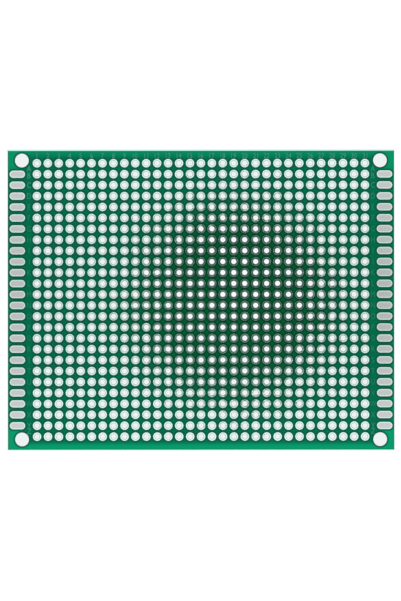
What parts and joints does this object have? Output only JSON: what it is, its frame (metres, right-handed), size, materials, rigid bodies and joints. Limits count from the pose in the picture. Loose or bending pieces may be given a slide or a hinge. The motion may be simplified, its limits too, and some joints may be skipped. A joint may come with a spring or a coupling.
{
  "type": "prototype board",
  "caption": "Rectangular glass-epoxy prototype board with a full grid of plated lead holes, pads along both side edges and mounting holes in its corners.",
  "frame": {"origin": "centre of the board's outline, on the plane that the back pads rest on", "axes": "+X along the long side, +Y along the short side towards row A, +Z out of the front face"},
  "size_m": [0.09, 0.07, 0.0016],
  "materials": {
    "laminate": "matte",
    "solder_mask": "gloss",
    "tinned_copper": "satin"
  },
  "bodies": {
    "root": {"laminate": "laminate", "solder_mask_front": "solder_mask", "solder_mask_back": "solder_mask", "row_a_plated_holes": "tinned_copper", "row_b_plated_holes": "tinned_copper", "row_c_plated_holes": "tinned_copper", "row_d_plated_holes": "tinned_copper", "row_e_plated_holes": "tinned_copper", "row_f_plated_holes": "tinned_copper", "row_g_plated_holes": "tinned_copper", "row_h_plated_holes": "tinned_copper", "row_i_plated_holes": "tinned_copper", "row_j_plated_holes": "tinned_copper", "row_k_plated_holes": "tinned_copper", "row_l_plated_holes": "tinned_copper", "row_m_plated_holes": "tinned_copper", "row_n_plated_holes": "tinned_copper", "row_o_plated_holes": "tinned_copper", "row_p_plated_holes": "tinned_copper", "row_q_plated_holes": "tinned_copper", "row_r_plated_holes": "tinned_copper", "row_s_plated_holes": "tinned_copper", "row_t_plated_holes": "tinned_copper", "row_u_plated_holes": "tinned_copper", "row_v_plated_holes": "tinned_copper", "row_w_plated_holes": "tinned_copper", "row_x_plated_holes": "tinned_copper", "row_y_plated_holes": "tinned_copper", "row_z_plated_holes": "tinned_copper", "front_left_edge_pads": "tinned_copper", "front_right_edge_pads": "tinned_copper", "back_left_edge_pads": "tinned_copper", "back_right_edge_pads": "tinned_copper"}
  },
  "joints": []
}
